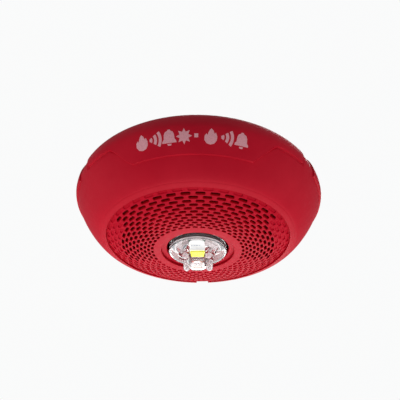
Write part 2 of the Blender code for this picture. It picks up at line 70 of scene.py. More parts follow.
SHELL_LOW, SHELL_HIGH = span("bezel_shell")
PANEL_LOW, PANEL_HIGH = span("grille_panel")
LENS_LOW, LENS_HIGH = span("strobe_lens")

# Bowl: back edge, widest ring and rim, with the same curves as the CAD solid
WIDE_R, WIDE_Z = SHELL_HIGH[0], -12.5
BACK_R, BACK_Z = WIDE_R - 6.6, SHELL_HIGH[2]
RIM_R, RIM_Z = WIDE_R - 19.0, SHELL_LOW[2] + 1.6
BACK_POWER, RIM_POWER = 1.76, 1.33
WALL = 2.3
RIM_INNER_R = 63.9

# Raised skirt round the back of the bowl
SKIRT_RISE, SKIRT_EDGE = 0.85, 0.5
GROOVE_DEPTH, GROOVE_START = 0.4, 33.0
DIMPLE_ANGLE, DIMPLE_Z = 55.6, -15.6
SKIRT_LOW_Z, SKIRT_HIGH_Z = -29.4, -15.4
SKIRT_FLAT_END, SKIRT_RAMP_END = 28.0, 38.5
SKIRT_GAP_START, SKIRT_GAP_END, SKIRT_GAP_RAMP = 54.5, 66.0, 2.2

# Perforated panel
PANEL_R = PANEL_HIGH[0]
PLATEAU_R, PLATEAU_Z = 31.5, PANEL_LOW[2]
CROWN_R = 57.0
SLOT_ROWS, SLOTS = 13, 40
FIRST_ROW_R, ROW_PITCH = 62.0, 2.54
SLOT_HALF_W, SLOT_SHARE = 0.92, 0.7
PANEL_WALL, BLIND_DEPTH = 1.3, 0.7
NARROW_SECTOR, WIDE_SECTOR = 60.0, 110.0
STEP_R, STEP_RISE, APERTURE_R = 25.0, 1.7, 21.5

# Clear lens: a shallow cup, a central body and four round-ended corner posts
LENS_R, LENS_RIM_Z, LENS_FACE_Z, LENS_WALL = LENS_HIGH[0], LENS_HIGH[2], -52.5, 1.4
BODY_HALF_X, BODY_HALF_Y, BODY_Z = 7.2, 8.6, LENS_LOW[2] + 0.3
POST_X, NEAR_POST_Y, FAR_POST_Y, POST_R = 7.9, -7.7, 7.4, 2.4
NEAR_POST_Z, FAR_POST_Z = -61.4, -62.8
REFLECTOR_Z, LED_HALF_X, LED_HALF_Y, LED_FACE_Z, APRON_Y = -50.75, 5.6, 5.1, -53.4, -15.2
DIE_HALF_X, DIE_HALF_Y = 5.4, 4.25

# Plate against the ceiling, and the travel of the sliding selector on the cover behind the electronics
FIXING_OFFSET, WIRE_ENTRY, SELECTOR_TRAVEL = 36.0, (0.0, 24.0), 12.0

# Camera: distance and elevation from the point it looks at, and where that point stands in the frame
TARGET = Vector((0.0, 0.0, -0.0443))
DISTANCE, ELEVATION, SIDEWAYS, ROLL = 0.462, 30.7, 3.4, 0.91
LENS_MM, SHIFT_X, SHIFT_Y = 59.6, 0.0053, 0.1055
LIT_POINT = Vector((0.0, 0.0, -0.03))


# ---------------------------------------------------------------- meshes
def in_scene(name, data):
    """A new object in the scene for a mesh, a light or a camera."""
    obj = bpy.data.objects.new(name, data)
    bpy.context.scene.collection.objects.link(obj)
    return obj


def mesh_object(name, vertices, faces, material, smooth_angle=40.0, merge=0.0):
    """A mesh in mm turned into an object in metres; merge joins points closer than that many mm."""
    mesh = bpy.data.meshes.new(name)
    mesh.from_pydata([tuple(float(c) * MM for c in v) for v in vertices], [], faces)
    if merge:
        bm = bmesh.new()
        bm.from_mesh(mesh)
        bmesh.ops.remove_doubles(bm, verts=bm.verts, dist=merge * MM)
        bm.to_mesh(mesh)
        bm.free()
    mesh.validate()
    mesh.shade_smooth()
    mesh.set_sharp_from_angle(angle=math.radians(smooth_angle))
    mesh.materials.append(material)
    return in_scene(name, mesh)


def finished(name, bm, material=None):
    """A bmesh turned into an object in the scene."""
    mesh = bpy.data.meshes.new(name)
    bm.to_mesh(mesh)
    bm.free()
    if material:
        mesh.materials.append(material)
    return in_scene(name, mesh)


def place(obj, body, slot, *nodes):
    """Fix a piece to a body and hide the CAD nodes it stands for; the slot argument is not used."""
    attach(obj, body)
    if nodes:
        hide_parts(*nodes)
    return obj


def grid_faces(rows, columns, close_rows=False):
    """Quads between rings laid out row by row."""
    faces = []
    for i in range(rows if close_rows else rows - 1):
        a, b = i * columns, ((i + 1) % rows) * columns
        for j in range(columns):
            k = (j + 1) % columns
            faces.append((a + j, a + k, b + k, b + j))
    return faces


def fix_normals(obj):
    """Turn every face outwards."""
    bm = bmesh.new()
    bm.from_mesh(obj.data)
    bmesh.ops.recalc_face_normals(bm, faces=bm.faces)
    bm.to_mesh(obj.data)
    bm.free()


def turned(name, profile, material, segments=96, centre=(0.0, 0.0), smooth_angle=35.0, closed=True):
    """A body of revolution from (radius, z) points in mm; closed joins the last point to the first."""
    angles = np.linspace(0, 2 * math.pi, segments, endpoint=False)
    vertices = [(centre[0] + r * math.cos(a), centre[1] + r * math.sin(a), z)
                for r, z in profile for a in angles]
    obj = mesh_object(name, vertices, grid_faces(len(profile), segments, closed), material, smooth_angle)
    if not closed:
        bm = bmesh.new()
        bm.from_mesh(obj.data)
        bmesh.ops.holes_fill(bm, edges=bm.edges)
        bm.to_mesh(obj.data)
        bm.free()
    fix_normals(obj)
    return obj


def rounded(points, radius, steps=3):
    """An open (r, z) outline with its inner corners rounded."""
    result = [points[0]]
    for before, corner, after in zip(points, points[1:], points[2:]):
        corner_v, first, second = Vector(corner), Vector(before), Vector(after)
        reach = min(radius, (first - corner_v).length * 0.45, (second - corner_v).length * 0.45)
        start = corner_v + (first - corner_v).normalized() * reach
        end = corner_v + (second - corner_v).normalized() * reach
        for i in range(steps + 1):
            t = i / steps
            point = start.lerp(corner_v, t).lerp(corner_v.lerp(end, t), t)
            result.append((point.x, point.y))
    return result + [points[-1]]


def bevelled(obj, width):
    """Round the edges sharper than 35 degrees by a width in mm."""
    modifier = obj.modifiers.new("edges", "BEVEL")
    modifier.width = width * MM
    modifier.segments = 2
    modifier.limit_method = "ANGLE"
    modifier.angle_limit = math.radians(35.0)
    modifier.harden_normals = True
    apply_modifiers(obj)


def stacked(name, rings, material, smooth_angle=40.0):
    """A closed piece skinned over equal rings, from one end to the other."""
    count = len(rings[0])
    faces = grid_faces(len(rings), count)
    faces += [tuple(range(count))[::-1], tuple(range((len(rings) - 1) * count, len(rings) * count))]
    obj = mesh_object(name, [p for ring in rings for p in ring], faces, material, smooth_angle)
    fix_normals(obj)
    return obj


def soft_rectangle(half_x, half_y, z, squareness=3.6, count=64, centre=(0.0, 0.0)):
    """A ring between an ellipse and a rectangle; squareness 2 is an ellipse."""
    ring = []
    for i in range(count):
        c, s = math.cos(2 * math.pi * i / count), math.sin(2 * math.pi * i / count)
        ring.append((centre[0] + math.copysign(abs(c) ** (2 / squareness), c) * half_x,
                     centre[1] + math.copysign(abs(s) ** (2 / squareness), s) * half_y, z))
    return ring


def apply_modifiers(obj):
    """Keep what the modifiers make as the piece's own mesh."""
    graph = bpy.context.evaluated_depsgraph_get()
    mesh = bpy.data.meshes.new_from_object(obj.evaluated_get(graph))
    obj.modifiers.clear()
    obj.data = mesh


def join(target, other, operation="UNION"):
    """Merge another closed piece into the target, or cut it away, and drop it."""
    modifier = target.modifiers.new("join", "BOOLEAN")
    modifier.object = other
    modifier.solver = "EXACT"
    modifier.operation = operation
    apply_modifiers(target)
    bpy.data.objects.remove(other)


def cut(target, low, high, radius, segments=3):
    """Cut a rounded box, in mm, out of a piece."""
    bm = bmesh.new()
    bmesh.ops.create_cube(bm, size=1.0)
    size = Vector(high) - Vector(low)
    bmesh.ops.scale(bm, verts=bm.verts, vec=size * MM)
    bmesh.ops.translate(bm, verts=bm.verts, vec=(Vector(low) + size / 2) * MM)
    bmesh.ops.bevel(bm, geom=list(bm.edges), offset=radius * MM, segments=segments, profile=0.5,
                    affect="EDGES")
    join(target, finished("cutter", bm), "DIFFERENCE")


def bore(target, x, y, radius, low, high, segments, material):
    """Cut a round hole, in mm, out of a piece."""
    join(target, turned("hole", [(radius, low), (radius, high)], material, segments, (x, y), closed=False),
         "DIFFERENCE")


def flat_faced(obj):
    """Even shading on the flat faces of a cut and joined piece, with its slivers merged away."""
    bm = bmesh.new()
    bm.from_mesh(obj.data)
    bmesh.ops.remove_doubles(bm, verts=bm.verts, dist=0.002 * MM)
    bmesh.ops.dissolve_degenerate(bm, edges=bm.edges, dist=0.002 * MM)
    bmesh.ops.holes_fill(bm, edges=[edge for edge in bm.edges if edge.is_boundary])
    bm.to_mesh(obj.data)
    bm.free()
    obj.data.set_sharp_from_angle(angle=math.radians(25.0))
    weighted = obj.modifiers.new("weighted", "WEIGHTED_NORMAL")
    weighted.weight = 100
    weighted.keep_sharp = True
    apply_modifiers(obj)


def inked(name, shapes, ink, where, cuts=0):
    """Thin solid ink from flat outlines, each point moved to where(x, y) in mm."""
    bm = bmesh.new()
    for outline in shapes:
        bm.faces.new([bm.verts.new((x, y, 0.0)) for x, y in outline])
    bmesh.ops.triangulate(bm, faces=bm.faces)
    if cuts:
        bmesh.ops.subdivide_edges(bm, edges=bm.edges, cuts=cuts, use_grid_fill=True)
        bmesh.ops.triangulate(bm, faces=bm.faces)
    for v in bm.verts:
        v.co = Vector(where(v.co.x, v.co.y)) * MM
    bmesh.ops.recalc_face_normals(bm, faces=bm.faces)
    obj = finished(name, bm, ink)
    solid = obj.modifiers.new("ink", "SOLIDIFY")
    solid.thickness = 0.06 * MM
    solid.offset = 1.0
    apply_modifiers(obj)
    return obj


# ---------------------------------------------------------------- materials
class Nodes:
    """Short names for building one material's node tree."""

    def __init__(self, name):
        self.material = bpy.data.materials.new(name)
        self.material.use_nodes = True
        self.tree = self.material.node_tree
        self.shader = self.tree.nodes["Principled BSDF"]
        self.coordinates = self.tree.nodes.new("ShaderNodeTexCoord").outputs["Object"]

    def link(self, source, target):
        self.tree.links.new(source, target)

    def noise(self, scale, detail=3.0, roughness=0.55):
        node = self.tree.nodes.new("ShaderNodeTexNoise")
        node.inputs["Scale"].default_value = scale
        node.inputs["Detail"].default_value = detail
        node.inputs["Roughness"].default_value = roughness
        self.link(self.coordinates, node.inputs["Vector"])
        return node.outputs["Fac"]

    def voronoi(self, scale, feature="F1"):
        node = self.tree.nodes.new("ShaderNodeTexVoronoi")
        node.feature = feature
        node.inputs["Scale"].default_value = scale
        self.link(self.coordinates, node.inputs["Vector"])
        return node.outputs["Distance"]

    def ramp(self, source, stops):
        node = self.tree.nodes.new("ShaderNodeValToRGB")
        ramp = node.color_ramp
        while len(ramp.elements) < len(stops):
            ramp.elements.new(0.5)
        for element, (position, colour) in zip(ramp.elements, stops):
            element.position = position
            element.color = (*colour, 1.0)
        self.link(source, node.inputs["Fac"])
        return node.outputs["Color"]

    def band(self, source, low, high, low_value, high_value):
        node = self.tree.nodes.new("ShaderNodeMapRange")
        ends = {"From Min": low, "From Max": high, "To Min": low_value, "To Max": high_value}
        for key, value in ends.items():
            node.inputs[key].default_value = value
        self.link(source, node.inputs["Value"])
        return node.outputs["Result"]

    def mix(self, factor, first, second):
        node = self.tree.nodes.new("ShaderNodeMix")
        node.data_type = "RGBA"
        # Sockets 0, 6 and 7 are the factor and the two colours; output 2 is the mixed colour
        for key, value in ((0, factor), (6, first), (7, second)):
            if isinstance(value, (int, float)):
                node.inputs[key].default_value = value
            elif isinstance(value, tuple):
                node.inputs[key].default_value = (*value, 1.0)
            else:
                self.link(value, node.inputs[key])
        return node.outputs[2]

    def bump(self, height, strength, distance, below=None):
        node = self.tree.nodes.new("ShaderNodeBump")
        node.inputs["Strength"].default_value = strength
        node.inputs["Distance"].default_value = distance
        self.link(height, node.inputs["Height"])
        if below is not None:
            self.link(below, node.inputs["Normal"])
        return node.outputs["Normal"]

    def set(self, **values):
        for key, value in values.items():
            socket = self.shader.inputs[key.replace("_", " ")]
            if isinstance(value, tuple):
                socket.default_value = (*value, 1.0)
            elif isinstance(value, (int, float)):
                socket.default_value = value
            else:
                self.link(value, socket)
        return self.material


def moulded_plastic(name, colour, worn, rough, grain=2600.0, grain_depth=0.00006, shine=0.45, clouds=0.84,
                    glow=0.0):
    """Spark-eroded moulding: fine grain, faint flow clouds, lighter rubbed edges.

    clouds is how dark the darkest cloud is against the colour; glow is painted light, an emission in the
    piece's own colour.
    """
    n = Nodes(name)
    flow = n.noise(38.0, 4.0)
    speckle = n.noise(grain, 2.0)
    deep = tuple(c * clouds for c in colour)
    light = tuple(min(1.0, c * (1.0 + 0.62 * (1.0 - clouds)) + 0.004) for c in colour)
    base = n.ramp(flow, ((0.3, deep), (0.7, light)))
    base = n.mix(n.band(speckle, 0.62, 0.8, 0.0, 0.22), base, worn)
    edge = n.tree.nodes.new("ShaderNodeNewGeometry").outputs["Pointiness"]
    base = n.mix(n.band(edge, 0.53, 0.62, 0.0, 0.35), base, worn)
    normal = n.bump(n.noise(grain, 2.0), 0.35, grain_depth)
    normal = n.bump(n.noise(55.0, 2.0), 0.2, 0.0004, normal)
    return n.set(Base_Color=base, Roughness=n.band(n.noise(420.0, 3.0), 0.3, 0.7, *rough), Normal=normal,
                 Specular_IOR_Level=shine, Emission_Color=colour, Emission_Strength=glow)


def metal(name, colour, dark, rough):
    """Plated metal with a fine grain and a few darker handling marks."""
    n = Nodes(name)
    grain = n.noise(900.0, 4.0, 0.6)
    marks = n.noise(160.0, 5.0)
    base = n.mix(n.band(marks, 0.5, 0.75, 0.0, 0.6), colour, dark)
    return n.set(Base_Color=base, Metallic=1.0, Roughness=n.band(grain, 0.3, 0.7, *rough),
                 Normal=n.bump(grain, 0.25, 0.00008))


def clear_plastic(name):
    """Polycarbonate with a faint tint, a little haze and moulding ripple."""
    n = Nodes(name)
    haze = n.band(n.noise(260.0, 4.0), 0.35, 0.75, 0.0175, 0.063)
    ripple = n.bump(n.noise(120.0, 2.0), 0.05, 0.0003)
    tinted = n.ramp(n.noise(60.0, 2.0), ((0.3, (0.97, 0.975, 0.97)), (0.7, (1.0, 1.0, 1.0))))
    return n.set(Base_Color=tinted, Roughness=haze, Normal=ripple, Transmission_Weight=1.0, IOR=1.49)


def frosted_plastic(name):
    """Clear polycarbonate with a fine ground surface that scatters part of the light, and a faint pinkish
    emission that is painted light.
    """
    n = Nodes(name)
    grit = n.noise(1500.0, 3.0)
    tone = n.ramp(n.noise(240.0, 3.0), ((0.3, (0.95, 0.86, 0.88)), (0.7, (1.0, 0.98, 0.98))))
    return n.set(Base_Color=tone, Roughness=n.band(grit, 0.3, 0.7, 0.06, 0.22), IOR=1.5,
                 Transmission_Weight=n.band(n.noise(330.0, 2.0), 0.35, 0.65, 0.4, 0.72),
                 Emission_Color=(1.0, 0.9, 0.92), Emission_Strength=0.14, Normal=n.bump(grit, 0.2, 0.0001))


def stippled_silver(name):
    """Vacuum-metallised plastic with a pebbled face."""
    n = Nodes(name)
    pebbles = n.voronoi(1500.0)
    patches = n.noise(330.0, 5.0, 0.7)
    tone = n.ramp(patches, ((0.3, (0.36, 0.29, 0.31)), (0.5, (0.6, 0.49, 0.5)), (0.7, (0.8, 0.7, 0.7))))
    normal = n.bump(pebbles, 0.5, 0.0002)
    normal = n.bump(n.noise(420.0, 3.0), 0.4, 0.0004, normal)
    return n.set(Base_Color=tone, Metallic=0.4, Roughness=n.band(pebbles, 0.1, 0.6, 0.34, 0.55),
                 Normal=normal)


def phosphor(name):
    """Silicone-covered phosphor of a white LED, with the faint grid of its dies and a faint yellow emission
    that is painted light.
    """
    n = Nodes(name)
    grid = n.noise(900.0, 2.0)
    tone = n.ramp(grid, ((0.3, (0.78, 0.72, 0.0)), (0.6, (0.95, 0.93, 0.04)), (0.8, (1.0, 0.98, 0.35))))
    normal = n.bump(grid, 0.4, 0.0002)
    return n.set(Base_Color=tone, Roughness=n.band(grid, 0.3, 0.7, 0.3, 0.5), Normal=normal,
                 Emission_Color=(0.9, 0.88, 0.05), Emission_Strength=0.25)


def woven(name, colour):
    """Plain-weave cloth: two crossed sets of threads in relief."""
    n = Nodes(name)
    black_to_white = ((0.0, (0.0, 0.0, 0.0)), (1.0, (1.0, 1.0, 1.0)))
    waves = []
    for direction in ("X", "Y"):
        node = n.tree.nodes.new("ShaderNodeTexWave")
        node.bands_direction = direction
        node.inputs["Scale"].default_value = 5200.0
        node.inputs["Distortion"].default_value = 0.6
        n.link(n.coordinates, node.inputs["Vector"])
        waves.append(n.ramp(node.outputs["Fac"], black_to_white))
    threads = n.mix(0.5, *waves)
    pale = tuple(c * 1.8 + 0.004 for c in colour)
    base = n.mix(n.band(n.noise(240.0, 4.0), 0.35, 0.7, 0.1, 0.7), colour, pale)
    return n.set(Base_Color=base, Roughness=n.band(n.noise(700.0), 0.3, 0.7, 0.85, 0.97),
                 Normal=n.bump(threads, 0.5, 0.00005), Specular_IOR_Level=0.1)


def circuit(name):
    """Green solder mask with copper tracks showing through as lighter lines, and pale pads."""
    n = Nodes(name)
    cells = n.voronoi(260.0, "DISTANCE_TO_EDGE")
    tracks = n.band(cells, 0.02, 0.06, 1.0, 0.0)
    base = n.mix(tracks, (0.012, 0.11, 0.045), (0.03, 0.25, 0.09))
    base = n.mix(n.band(n.noise(1200.0), 0.66, 0.7, 0.0, 0.8), base, (0.55, 0.56, 0.5))
    return n.set(Base_Color=base, Roughness=n.band(n.noise(500.0), 0.3, 0.7, 0.25, 0.45),
                 Normal=n.bump(tracks, 0.3, 0.0001))


def screen_print(name):
    """Slightly uneven pad-printed ink, thinner where the moulded grain stands proud."""
    n = Nodes(name)
    thin = n.noise(2300.0, 3.0)
    # The print is white: its pink, dimmed tones are painted red bounce light and shade.
    base = n.ramp(thin, ((0.3, (0.75, 0.28, 0.32)), (0.55, (0.93, 0.42, 0.46)), (0.8, (1.0, 0.5, 0.54))))
    return n.set(Base_Color=base, Roughness=n.band(thin, 0.3, 0.7, 0.5, 0.65),
                 Normal=n.bump(thin, 0.3, 0.00005))


# ---------------------------------------------------------------- housing
def bowl_side():
    """The bowl's outline at even steps of length: length, radius, height, and the outward normal."""
    turn = np.linspace(0, 0.5 * math.pi, 200)
    s, c = np.sin(turn), np.abs(np.cos(turn))
    back_r = BACK_R + (WIDE_R - BACK_R) * s ** (2 / BACK_POWER)
    back_z = WIDE_Z + (BACK_Z - WIDE_Z) * c ** (2 / BACK_POWER)
    rim_r = RIM_R + (WIDE_R - RIM_R) * c ** (2 / RIM_POWER)
    rim_z = WIDE_Z + (RIM_Z - WIDE_Z) * s ** (2 / RIM_POWER)
    r = np.concatenate([back_r, rim_r[1:]])
    z = np.concatenate([back_z, rim_z[1:]])
    length = np.concatenate([[0], np.cumsum(np.hypot(np.diff(r), np.diff(z)))])
    even = np.linspace(0, length[-1], 160)
    r, z = np.interp(even, length, r), np.interp(even, length, z)
    dr, dz = np.gradient(r, even), np.gradient(z, even)
    size = np.hypot(dr, dz)
    return even, r, z, -dz / size, dr / size


def bowl_point(angle, z, side, lift):
    """A point lifted off the bowl's side at an angle and a height, in mm."""
    even, side_r, side_z, normal_r, normal_z = side
    s = np.interp(-z, -side_z, even)
    r = np.interp(s, even, side_r) + lift * np.interp(s, even, normal_r)
    zz = np.interp(s, even, side_z) + lift * np.interp(s, even, normal_z)
    a = math.radians(angle)
    return r * math.sin(a), -r * math.cos(a), zz


def smooth_step(x):
    x = np.clip(x, 0.0, 1.0)
    return x * x * (3 - 2 * x)


def skirt_height(angle):
    """Height of the raised skirt's lower edge at an angle from the front, in degrees."""
    a = abs((angle + 180.0) % 360.0 - 180.0)
    a = min(a, 180.0 - a)
    ramp = smooth_step((a - SKIRT_FLAT_END) / (SKIRT_RAMP_END - SKIRT_FLAT_END))
    linear = min(max((a - SKIRT_FLAT_END) / (SKIRT_RAMP_END - SKIRT_FLAT_END), 0.0), 1.0)
    edge = SKIRT_LOW_Z + (SKIRT_HIGH_Z - SKIRT_LOW_Z) * (0.35 * ramp + 0.65 * linear)
    into = smooth_step((a - SKIRT_GAP_START) / SKIRT_GAP_RAMP)
    out_of = smooth_step((a - SKIRT_GAP_END + SKIRT_GAP_RAMP) / SKIRT_GAP_RAMP)
    return edge + (BACK_Z - 0.6 - edge) * into * (1.0 - out_of)


def housing(red):
    """The bowl: skirt, its edge and groove, face, rounded rim and inner wall, then the screw pocket."""
    columns = 720
    even, side_r, side_z, normal_r, normal_z = bowl_side()
    edge_shares, past_edge = (0.0, 0.25, 0.6, 0.85, 1.0), (0.2, 0.45, 0.75, 1.2)
    skirt_rings, face_rings = 26, 44
    angles = np.radians(np.arange(columns) * 360.0 / columns)
    edge_s = np.array([np.interp(-skirt_height(math.degrees(a)), -side_z, even) for a in angles])
    face_s = edge_s + past_edge[-1]
    rings = [(edge_s - SKIRT_EDGE) * i / skirt_rings for i in range(skirt_rings)]
    rings += [edge_s - SKIRT_EDGE * (1 - share) for share in edge_shares]
    rings += [edge_s + past for past in past_edge]
    rings += [face_s + (even[-1] - face_s) * i / face_rings for i in range(1, face_rings + 1)]
    front_turn = np.degrees(np.arccos(np.abs(np.cos(angles))))
    groove = GROOVE_DEPTH * smooth_step((front_turn - GROOVE_START) / 5.0)
    vertices = []
    for s in rings:
        s = np.maximum(s, 0.0)
        raised = 1.0 - smooth_step((s - (edge_s - SKIRT_EDGE)) / SKIRT_EDGE)
        lift = SKIRT_RISE * raised - groove * np.exp(-((s - edge_s - 0.45) / 0.4) ** 2)
        r = np.interp(s, even, side_r) + lift * np.interp(s, even, normal_r)
        z = np.interp(s, even, side_z) + lift * np.interp(s, even, normal_z)
        vertices += list(zip(r * np.sin(angles), -r * np.cos(angles), np.minimum(z, BACK_Z + 0.3)))
    rim = [(RIM_R, RIM_Z - 0.1), (RIM_R - 0.3, RIM_Z - 0.3), (66.2, -41.95), (64.3, -42.75),
           (RIM_INNER_R + 0.06, -42.86), (RIM_INNER_R, -42.8), (RIM_INNER_R, -40.3)]
    inner = [(s_r - WALL, s_z) for s_r, s_z in zip(side_r[::-12], side_z[::-12]) if s_z > -39.5]
    for r, z in rim + [(RIM_INNER_R, -39.9), (66.0, -39.6)] + inner + [(BACK_R - WALL, BACK_Z)]:
        vertices += list(zip(r * np.sin(angles), -r * np.cos(angles), np.full(columns, z)))
    rows = len(vertices) // columns
    shell = mesh_object("housing_shell", vertices, grid_faces(rows, columns, True), red, 32.0)
    fix_normals(shell)
    notch(shell)
    dimples(shell)
    return place(shell, "device", "red_housing", "bezel_shell")


def notch(shell):
    """Pocket for the locking screw, open through the rim's inner lip."""
    cut(shell, (-4.6, RIM_INNER_R - 3.0, -48.0), (4.6, 76.0, -37.2), 0.8)


def dimples(shell):
    """Small gate marks beside the ends of the front and back skirts."""
    side = bowl_side()
    bm = bmesh.new()
    for angle in (DIMPLE_ANGLE, 180 - DIMPLE_ANGLE, 180 + DIMPLE_ANGLE, 360 - DIMPLE_ANGLE):
        centre = Vector(bowl_point(angle, DIMPLE_Z, side, 0.25)) * MM
        bmesh.ops.create_icosphere(bm, subdivisions=2, radius=0.95 * MM, matrix=Matrix.Translation(centre))
    join(shell, finished("dimples", bm), "DIFFERENCE")


# ---------------------------------------------------------------- perforated panel
def panel_z(radius):
    """Height of the panel's face: flat near the lens, then curving up to the rim."""
    reach = np.maximum(radius - PLATEAU_R, 0.0)
    return PLATEAU_Z + CROWN_R - np.sqrt(CROWN_R ** 2 - reach ** 2)


def slot_open(row, angle):
    """Slots near the front go right through; the others are shallow marks."""
    sector = NARROW_SECTOR if row < 4 else WIDE_SECTOR
    return row >= 1 and abs(angle) <= sector


def stadium(half_length, half_width, samples):
    """Rounded-end outline matching the cell border: samples along the top, one end, the bottom, one end."""
    straight = half_length - half_width
    caps = [math.radians(a) for a in (30, 60, 90)]
    top = [(-straight - half_width * math.cos(a), half_width * math.sin(a)) for a in caps]
    for i in range(1, samples - 5):
        top.append((-straight + 2 * straight * i / (samples - 5), half_width))
    top += [(straight + half_width * math.cos(a), half_width * math.sin(a)) for a in caps[::-1]]
    bottom = [(x, -y) for x, y in top[::-1]]
    return top + [(half_length, 0.0)] + bottom + [(-half_length, 0.0)]


def grille(red, shade, deep):
    """Closed panel built cell by cell, a slot or a shallow mark in each, with its border and lens seat."""
    samples = 11
    pitch = 360.0 / SLOTS
    across = [pitch * (i / (samples - 1) - 0.5) for i in range(samples)]
    vertices, faces = [], []
    for row in range(SLOT_ROWS):
        middle = FIRST_ROW_R - ROW_PITCH * row
        arc = math.radians(pitch) * middle
        half_length = 0.5 * SLOT_SHARE * arc
        border = [(a, 0.5 * ROW_PITCH) for a in across] + [(across[-1], 0.0)]
        border += [(a, -0.5 * ROW_PITCH) for a in across[::-1]] + [(across[0], 0.0)]
        to_angle = math.degrees(1.0 / middle)
        rings = [(border, 0.0)]
        for grow, drop in ((0.2, 0.0), (0.08, 0.04), (0.0, 0.2)):
            outline = stadium(half_length + grow, SLOT_HALF_W + grow, samples)
            rings.append(([(x * to_angle, y) for x, y in outline], drop))
        inner = [(x * to_angle, y) for x, y in stadium(half_length - 0.06, SLOT_HALF_W - 0.06, samples)]
        start = -180.0 + (0.0 if row % 2 == 0 else 0.5 * pitch)
        for index in range(SLOTS):
            centre = start + pitch * index
            opened = slot_open(row, centre)
            depth = PANEL_WALL if opened else BLIND_DEPTH
            first = len(vertices)
            count = len(border)
            for outline, drop in rings + [(inner, depth), (border, PANEL_WALL)]:
                for angle, v in outline:
                    a = math.radians(centre + angle)
                    r = middle + v
                    vertices.append((r * math.sin(a), -r * math.cos(a), float(panel_z(r)) + drop))
            walls = len(rings) + (2 if opened else 1)
            faces += [tuple(first + i for i in f) for f in grid_faces(walls, count)]
            if not opened:
                last = first + len(rings) * count
                faces += [tuple(range(last, last + count)), tuple(range(last + count, last + 2 * count))]
    columns = int(SLOTS * (samples - 1))
    angles = np.radians(-180.0 + 360.0 / columns * np.arange(columns))
    outer_r = FIRST_ROW_R + 0.5 * ROW_PITCH
    inner_r = FIRST_ROW_R - ROW_PITCH * (SLOT_ROWS - 0.5)
    border_r, border_z = PANEL_R + 0.23, panel_z(PANEL_R)
    edge = [(outer_r, panel_z(outer_r)), (border_r - 0.12, border_z), (border_r, border_z + 0.15),
            (border_r, border_z + PANEL_WALL), (outer_r, panel_z(outer_r) + PANEL_WALL)]
    ledge = PLATEAU_Z + STEP_RISE
    behind, ledge_behind = PLATEAU_Z + PANEL_WALL, ledge + PANEL_WALL
    collar_r, collar_z = APERTURE_R + 1.3, -46.5
    lens_seat = [(inner_r, PLATEAU_Z)] + rounded(
        [(28.0, PLATEAU_Z), (STEP_R + 0.25, PLATEAU_Z), (STEP_R, ledge), (APERTURE_R + 0.1, ledge + 0.05),
         (APERTURE_R, LENS_LOW[2] + 17.6), (APERTURE_R + 0.6, collar_z)], 0.35, 3)
    lens_seat += [(collar_r, collar_z), (collar_r, ledge_behind), (STEP_R + 1.0, ledge_behind),
                  (STEP_R + 1.5, behind), (inner_r, behind)]
    for outline in (edge, lens_seat):
        first = len(vertices)
        for r, z in outline:
            vertices += list(zip(r * np.sin(angles), -r * np.cos(angles), np.full(columns, float(z))))
        faces += [tuple(first + i for i in f) for f in grid_faces(len(outline), columns)]
    panel = mesh_object("perforated_grille", vertices, faces, red, 38.0, merge=0.004)
    fix_normals(panel)
    # Painted shade: the walls of open slots take the second, darker material, and the step riser and aperture
    # wall the third.
    panel.data.materials.append(shade)
    panel.data.materials.append(deep)
    for polygon in panel.data.polygons:
        x, y, z = (c / MM for c in polygon.center)
        radius = math.hypot(x, y)
        row = round((FIRST_ROW_R - radius) / ROW_PITCH)
        inside_slot = inner_r < radius < outer_r and z > panel_z(radius) + 0.3
        riser = STEP_R - 0.1 < radius < STEP_R + 0.3 or radius < APERTURE_R + 0.05
        if inside_slot and slot_open(row, math.degrees(math.atan2(x, -y))):
            polygon.material_index = 1
        elif riser:
            polygon.material_index = 2
    return place(panel, "device", "red_grille", "grille_panel")


# ---------------------------------------------------------------- lens, reflector and LED
def soft_dome(name, half_x, half_y, top, bottom, end, material):
    """Straight-sided, with the last few mm rounded over into the end face."""
    rings = [soft_rectangle(half_x, half_y, top)]
    for i in range(9):
        turn = math.radians(90.0 * i / 8)
        shrink = end * (1 - math.cos(turn))
        rings.append(soft_rectangle(half_x - 0.5 - shrink, half_y - 0.5 - shrink,
                                    bottom + end * (1 - math.sin(turn))))
    return stacked(name, rings, material)


def round_post(name, x, y, radius, top, end, material):
    """A slightly tapered post with a ball end."""
    profile = [(radius + 0.15, top), (radius, end + radius)]
    for i in range(1, 9):
        turn = math.radians(88.0 * i / 8)
        profile.append((radius * math.cos(turn), end + radius * (1 - math.sin(turn))))
    return turned(name, profile, material, 32, (x, y), 40.0, closed=False)


def lens(clear, frosted):
    """One clear moulding: shallow cup, hollow body and four posts, with the posts' ends ground."""
    edge = rounded([(LENS_R, LENS_RIM_Z - 0.4), (LENS_R, LENS_FACE_Z), (LENS_R - 2.0, LENS_FACE_Z)], 0.8, 5)
    shell = turned("lens_shell", [(LENS_R - 0.3, LENS_RIM_Z)] + edge, clear, 128, closed=False)
    inside = LENS_FACE_Z + LENS_WALL
    join(shell, soft_dome("body", BODY_HALF_X, BODY_HALF_Y, inside + 0.5, BODY_Z, 3.0, clear))
    for y, end in ((NEAR_POST_Y, NEAR_POST_Z), (FAR_POST_Y, FAR_POST_Z)):
        for x in (-POST_X, POST_X):
            join(shell, round_post("post", x, y, POST_R, inside + 0.5, end, clear))
    bore(shell, 0.0, 0.0, LENS_R - LENS_WALL, LENS_RIM_Z + 1.0, inside, 96, clear)
    cavity = soft_dome("cavity", BODY_HALF_X - 1.0, BODY_HALF_Y - 1.0, inside + 1.0, BODY_Z + 1.5, 2.4, clear)
    join(shell, cavity, "DIFFERENCE")
    shell.data.materials.append(frosted)
    for polygon in shell.data.polygons:
        x, y, z = (c / MM for c in polygon.center)
        axis_y = NEAR_POST_Y if y < 0 else FAR_POST_Y
        end = NEAR_POST_Z if y < 0 else FAR_POST_Z
        if z < end + 1.7 * POST_R and math.hypot(abs(x) - POST_X, y - axis_y) < POST_R + 0.1:
            polygon.material_index = 1
    shell.visible_shadow = False
    return place(shell, "device", "clear_lens", "strobe_lens")


